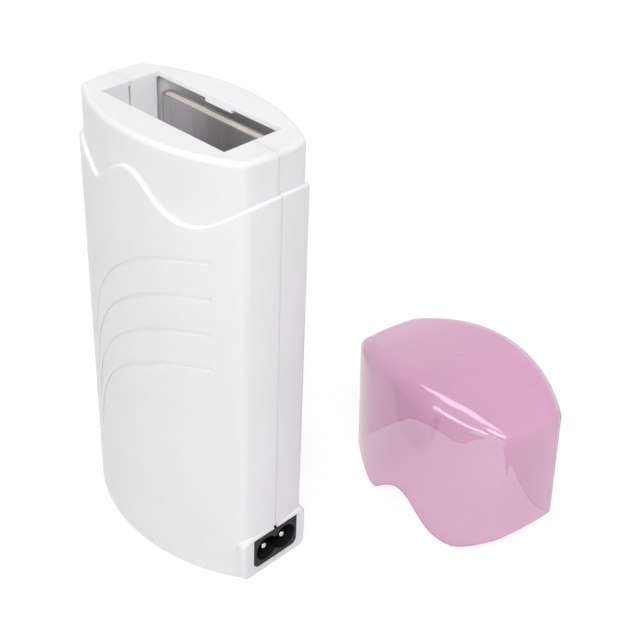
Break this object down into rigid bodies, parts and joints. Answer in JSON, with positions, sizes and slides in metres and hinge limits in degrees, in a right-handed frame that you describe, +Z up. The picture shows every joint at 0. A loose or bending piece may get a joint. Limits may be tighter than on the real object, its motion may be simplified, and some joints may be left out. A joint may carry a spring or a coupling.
{
  "type": "roll-on wax cartridge heater",
  "caption": "Hand-held heater for roll-on wax cartridges: tall white lens-plan housing with an open chamber, wavy cap seat, grip grooves, mains inlet and a clear pink cap set beside it.",
  "frame": {"origin": "middle of the housing's flat base, on the parting plane of the two shells", "axes": "+Z up through the open chamber, +X towards the end with the mains inlet, -Y out of the front shell"},
  "size_m": [0.1391, 0.1272, 0.16],
  "materials": {
    "white_plastic": "smooth glossy moulded plastic",
    "pink_plastic": "clear tinted moulded plastic, polished",
    "black_plastic": "fine satin moulding",
    "nickel": "nickel plated",
    "sleeve_aluminium": "rolled sheet, lightly brushed",
    "fibre_paper": "soft fibrous felted paper",
    "mica": "pressed mica board",
    "heating_foil": "rolled resistance foil",
    "tinned_brass": "tinned sheet brass",
    "zinc_steel": "zinc plated",
    "cup_aluminium": "drawn cup",
    "phenolic": "moulded phenolic",
    "fuse_metal": "tinned can",
    "rivet_aluminium": "set rivet",
    "brown_silicone": "silicone insulation",
    "white_silicone": "silicone insulation",
    "blue_silicone": "silicone insulation"
  },
  "bodies": {
    "heater": {"front_shell": "white_plastic", "back_shell": "white_plastic", "inlet_housing": "black_plastic", "inlet_pins": "nickel", "heater_sleeve": "sleeve_aluminium", "insulation_wrap": "fibre_paper", "element_card": "mica", "element_foil": "heating_foil", "element_tabs": "tinned_brass", "sleeve_screws": "zinc_steel", "thermostat_cup": "cup_aluminium", "thermostat_body": "phenolic", "thermostat_blades": "tinned_brass", "thermal_fuse": "fuse_metal", "fuse_clip": "zinc_steel", "rivets": "rivet_aluminium", "spade_terminals": "tinned_brass", "butt_crimps": "tinned_brass", "live_wire": "brown_silicone", "link_wire": "white_silicone", "neutral_wire": "blue_silicone", "shell_screws": "zinc_steel"},
    "cap": {"cap": "pink_plastic"}
  },
  "joints": [
    {"name": "cap_lift", "type": "slide", "parent": "heater", "child": "cap", "axis": [0, 0, 1], "range_m": [0, 0.06]}
  ]
}
